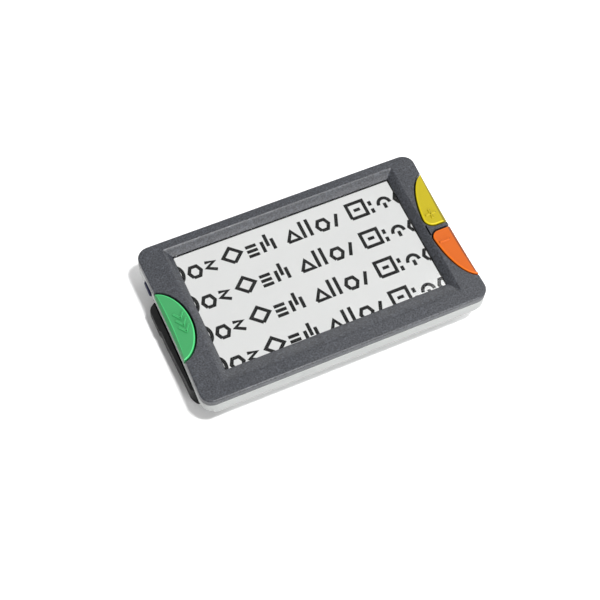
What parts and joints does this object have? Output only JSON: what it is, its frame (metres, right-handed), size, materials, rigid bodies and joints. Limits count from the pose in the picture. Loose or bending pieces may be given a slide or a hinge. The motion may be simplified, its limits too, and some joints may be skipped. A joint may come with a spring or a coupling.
{
  "type": "electronic low vision magnifier",
  "caption": "Hand-held electronic low vision magnifier: flat case with a wide screen, coloured edge keys and a fold-out handle.",
  "frame": {"origin": "on the plane that the rubber feet rest on, under the centre of the case", "axes": "+X to the right along the screen, +Y up the screen, +Z out of the screen, towards the reader"},
  "size_m": [0.1239, 0.0732, 0.0222],
  "materials": {
    "bezel": "fine grained dark grey moulding",
    "shell": "satin silver paint on plastic",
    "window": "clear, anti-reflection coated",
    "display": "lit white picture",
    "metal_tray": "bare pressed steel",
    "gasket": "black foam",
    "flex": "amber polyimide film",
    "board": "green solder mask",
    "chips": "black epoxy",
    "white_board": "white solder mask",
    "led": "yellow phosphor under clear resin",
    "lens": "coated optical glass",
    "battery": "shrink sleeve",
    "contacts": "gold-plated spring leaves",
    "steel": "zinc-plated",
    "green": "satin coloured moulding",
    "yellow": "satin coloured moulding",
    "orange": "satin coloured moulding",
    "blue": "satin coloured moulding",
    "handle": "fine grained black moulding",
    "feet": "matt rubber",
    "plunger": "natural nylon"
  },
  "bodies": {
    "case": {"front_bezel": "bezel", "rear_shell": "shell", "display_window": "window", "window_gasket": "gasket", "lcd_panel": "display", "lcd_backlight": "metal_tray", "lcd_flex_cable": "flex", "main_board": "board", "board_components": "chips", "buzzer": "chips", "charge_socket": "chips", "battery_pack": "battery", "battery_foam": "gasket", "battery_contacts": "contacts", "battery_door": "shell", "battery_door_screw": "steel", "image_sensor": "chips", "lens_holder": "chips", "lens_barrel": "chips", "objective_lens": "lens", "camera_window": "window", "led_board": "white_board", "illumination_leds": "led", "left_key_board": "board", "right_key_board": "board", "left_key_cable": "flex", "right_key_cable": "flex", "green_switch": "chips", "yellow_switch": "chips", "orange_switch": "chips", "power_switch": "chips", "handle_pivot_screw": "steel", "handle_wave_washer": "steel", "case_screws": "steel", "board_screws": "steel", "rubber_feet": "feet"},
    "green_button": {"green_key": "green", "green_plunger": "plunger"},
    "yellow_button": {"yellow_key": "yellow", "yellow_plunger": "plunger"},
    "orange_button": {"orange_key": "orange", "orange_plunger": "plunger"},
    "power_button": {"power_key": "blue", "power_plunger": "plunger"},
    "handle_arm": {"handle": "handle"}
  },
  "joints": [
    {"name": "green_press", "type": "slide", "parent": "case", "child": "green_button", "axis": [0, 0, -1], "range_m": [0, 0.0006], "stiffness_N_per_m": 1500, "springref_m": -0.0005},
    {"name": "yellow_press", "type": "slide", "parent": "case", "child": "yellow_button", "axis": [0, 0, -1], "range_m": [0, 0.0006], "stiffness_N_per_m": 1500, "springref_m": -0.0005},
    {"name": "orange_press", "type": "slide", "parent": "case", "child": "orange_button", "axis": [0, 0, -1], "range_m": [0, 0.0006], "stiffness_N_per_m": 1500, "springref_m": -0.0005},
    {"name": "power_press", "type": "slide", "parent": "case", "child": "power_button", "axis": [1, 0, 0], "range_m": [0, 0.0005], "stiffness_N_per_m": 1500, "springref_m": -0.0005},
    {"name": "handle_fold", "type": "hinge", "parent": "case", "child": "handle_arm", "pos_m": [-0.0552, -0.0215, 0.008], "axis": [0, 0, 1], "range_deg": [0, 135]}
  ]
}
